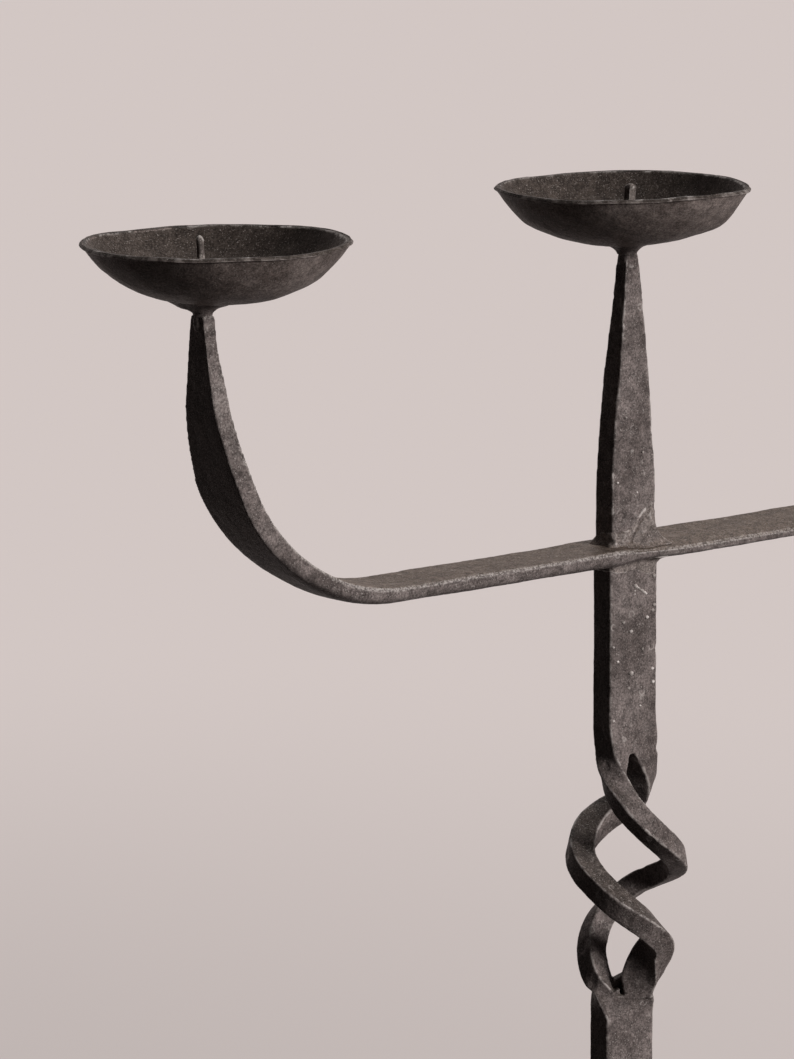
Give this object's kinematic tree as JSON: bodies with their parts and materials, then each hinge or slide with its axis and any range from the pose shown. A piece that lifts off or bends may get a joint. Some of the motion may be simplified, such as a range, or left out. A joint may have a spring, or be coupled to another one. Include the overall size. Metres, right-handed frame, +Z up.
{
  "type": "pricket candle stand",
  "caption": "Forged iron candle stand: flat stem with a split open twist, a flat cross arm with turned-up ends, and hammered pans with blunt prickets for pillar candles.",
  "frame": {"origin": "on the floor, in the middle of the base under the stem", "axes": "+X along the cross arm, +Y across it, +Z up the stem"},
  "size_m": [0.509, 0.23, 0.5462],
  "materials": {
    "forged_iron": "hand-forged, blackened and waxed, with hammer facets and worn edges",
    "pan_iron": "hammered sheet, blackened, with a worn rim",
    "pricket_iron": "cut and hammered spike, blackened",
    "weld_iron": "lumpy forge weld, blackened"
  },
  "bodies": {
    "root": {"cross_arm": "forged_iron", "upper_stem": "forged_iron", "lower_stem": "forged_iron", "long_foot_bar": "forged_iron", "short_foot_bar": "forged_iron", "tenon_washer": "forged_iron", "left_pan": "pan_iron", "centre_pan": "pan_iron", "right_pan": "pan_iron", "left_pricket": "pricket_iron", "centre_pricket": "pricket_iron", "right_pricket": "pricket_iron", "left_neck_weld": "weld_iron", "centre_neck_weld": "weld_iron", "right_neck_weld": "weld_iron", "upper_crossing_weld": "weld_iron", "lower_crossing_weld": "weld_iron", "stem_foot_weld": "weld_iron"}
  },
  "joints": []
}
